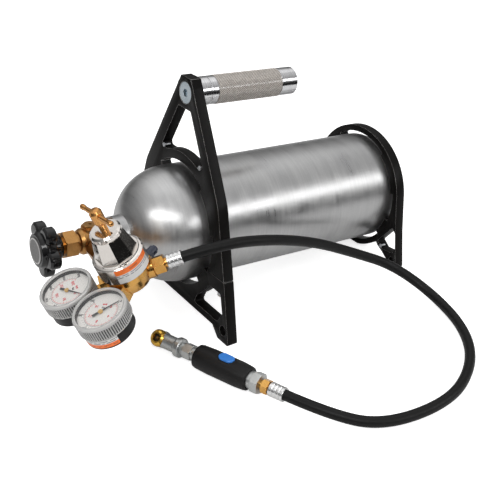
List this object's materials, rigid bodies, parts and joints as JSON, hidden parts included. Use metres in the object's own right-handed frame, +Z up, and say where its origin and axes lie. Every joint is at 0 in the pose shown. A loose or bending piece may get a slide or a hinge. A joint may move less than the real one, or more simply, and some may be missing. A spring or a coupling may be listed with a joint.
{
  "type": "air receiver tank",
  "caption": "Portable gas cylinder on two bracket feet with a carrying handle, hand valve, regulator with gauges, and a hose ending in a tyre chuck.",
  "frame": {"origin": "on the floor straight below the point where the cylinder's axis meets the front bracket's front face", "axes": "+Z up; +X along the floor from the valve end to the closed end of the cylinder; the regulator, hose and chuck are on the -Y side"},
  "size_m": [0.4828, 0.4453, 0.2708],
  "materials": {
    "shell_aluminium": "brushed bare aluminium",
    "black_anodised": "black anodised plate, edges a little brighter",
    "grip_aluminium": "polished collars, diamond-knurled middle",
    "zinc_steel": "zinc plated",
    "spring_steel": "plain",
    "brass": "machined and forged brass",
    "brass_dark": "warm brass",
    "wheel_black": "black moulding",
    "cap_grey": "plain grey disc",
    "nickel": "polished nickel plate; label band round the skirt",
    "ferrule_steel": "bright crimped",
    "steel": "plain",
    "rubber": "moulded",
    "hose_rubber": "smooth black hose",
    "gauge_black": "black enamel",
    "dial_white": "white dial with red and black marks",
    "pointer_black": "black",
    "clear": "clear moulding with a ribbed rim",
    "coupler_black": "black moulding",
    "button_blue": "blue button"
  },
  "bodies": {
    "frame": {"cylinder_shell": "shell_aluminium", "front_upper_bracket": "black_anodised", "front_lower_bracket": "black_anodised", "rear_bracket": "black_anodised", "handle": "grip_aluminium", "handle_screw": "zinc_steel", "face_screws": "zinc_steel", "clamp_screws": "zinc_steel", "clamp_dowels": "zinc_steel", "adapter": "zinc_steel", "adjusting_spring": "spring_steel", "poppet_spring": "spring_steel", "valve_body": "brass", "burst_disc_plug": "brass", "valve_bonnet": "brass", "packing_gland": "brass", "inlet_nut": "brass", "inlet_nipple": "brass", "regulator_body": "brass", "seat_cap": "brass", "outlet_fitting": "brass", "hose_end_fitting": "brass", "relief_valve": "brass", "left_gauge_stem": "brass", "right_gauge_stem": "brass", "left_gauge_movement": "brass", "right_gauge_movement": "brass", "regulator_bonnet": "nickel", "ferrule_1": "ferrule_steel", "ferrule_2": "ferrule_steel", "diaphragm_plate": "steel", "neck_o_ring": "rubber", "outlet_washer": "rubber", "diaphragm": "rubber", "hose": "hose_rubber", "left_gauge_case": "gauge_black", "right_gauge_case": "gauge_black", "left_gauge_dial": "dial_white", "right_gauge_dial": "dial_white", "left_gauge_lens": "clear", "right_gauge_lens": "clear", "coupler_body": "coupler_black"},
    "wheel": {"handwheel": "wheel_black", "handwheel_cap": "cap_grey", "valve_spindle": "brass"},
    "seat_plug": {"valve_plug": "brass"},
    "spring_carrier": {"spring_button": "steel"},
    "adjuster": {"adjusting_screw": "brass_dark", "t_bar": "brass_dark"},
    "reg_poppet": {"poppet": "brass"},
    "left_pointer": {"left_gauge_pointer": "pointer_black"},
    "right_pointer": {"right_gauge_pointer": "pointer_black"},
    "release_button": {"coupler_button": "button_blue"},
    "chuck": {"plug_nipple": "zinc_steel", "chuck_body": "zinc_steel", "chuck_foot": "brass", "chuck_seal": "rubber", "chuck_spring": "spring_steel"},
    "chuck_pin": {"chuck_poppet": "steel"}
  },
  "joints": [
    {"name": "handwheel_turn", "type": "hinge", "parent": "frame", "child": "wheel", "pos_m": [-0.08365, 0, 0.10941], "axis": [-0.9959, 0, 0.0906], "range_deg": [0, 864.1]},
    {"name": "seat_plug_lift", "type": "slide", "parent": "wheel", "child": "seat_plug", "axis": [-0.9959, 0, 0.0906], "range_m": [0, 0.0024]},
    {"name": "adjuster_feed", "type": "slide", "parent": "frame", "child": "spring_carrier", "axis": [0.3633, 0, -0.9317], "range_m": [0, 0.00525], "deforming": ["adjusting_spring"]},
    {"name": "adjuster_turn", "type": "hinge", "parent": "spring_carrier", "child": "adjuster", "pos_m": [-0.10805, -0.087, 0.11163], "axis": [0.3633, 0, -0.9317], "range_deg": [0, 1260.1]},
    {"name": "regulator_poppet_slide", "type": "slide", "parent": "frame", "child": "reg_poppet", "axis": [0.3633, 0, -0.9317], "range_m": [0, 0.0005], "stiffness_N_per_m": 1500, "springref_m": -0.002, "deforming": ["poppet_spring"]},
    {"name": "left_pointer_turn", "type": "hinge", "parent": "frame", "child": "left_pointer", "pos_m": [-0.16265, -0.067, 0.09035], "axis": [-0.3633, 0, 0.9317], "range_deg": [-266, 0]},
    {"name": "right_pointer_turn", "type": "hinge", "parent": "frame", "child": "right_pointer", "pos_m": [-0.15371, -0.1246, 0.09383], "axis": [-0.3633, 0, 0.9317], "range_deg": [-266, 0]},
    {"name": "release_button_press", "type": "slide", "parent": "frame", "child": "release_button", "axis": [0, 0, -1], "range_m": [0, 0.002], "stiffness_N_per_m": 800, "springref_m": -0.002},
    {"name": "chuck_pull_out", "type": "slide", "parent": "frame", "child": "chuck", "axis": [-0.3449, 0.9386, 0], "range_m": [0, 0.03]},
    {"name": "chuck_pin_press", "type": "slide", "parent": "chuck", "child": "chuck_pin", "axis": [0.719, 0.2642, -0.6428], "range_m": [0, 0.0012], "stiffness_N_per_m": 400, "springref_m": -0.003, "deforming": ["chuck_spring"]}
  ],
  "couplings": [
    {"joint": "handwheel_turn", "follows": "seat_plug_lift", "rad_per_m": 6283.2},
    {"joint": "adjuster_turn", "follows": "adjuster_feed", "rad_per_m": 4188.8}
  ]
}
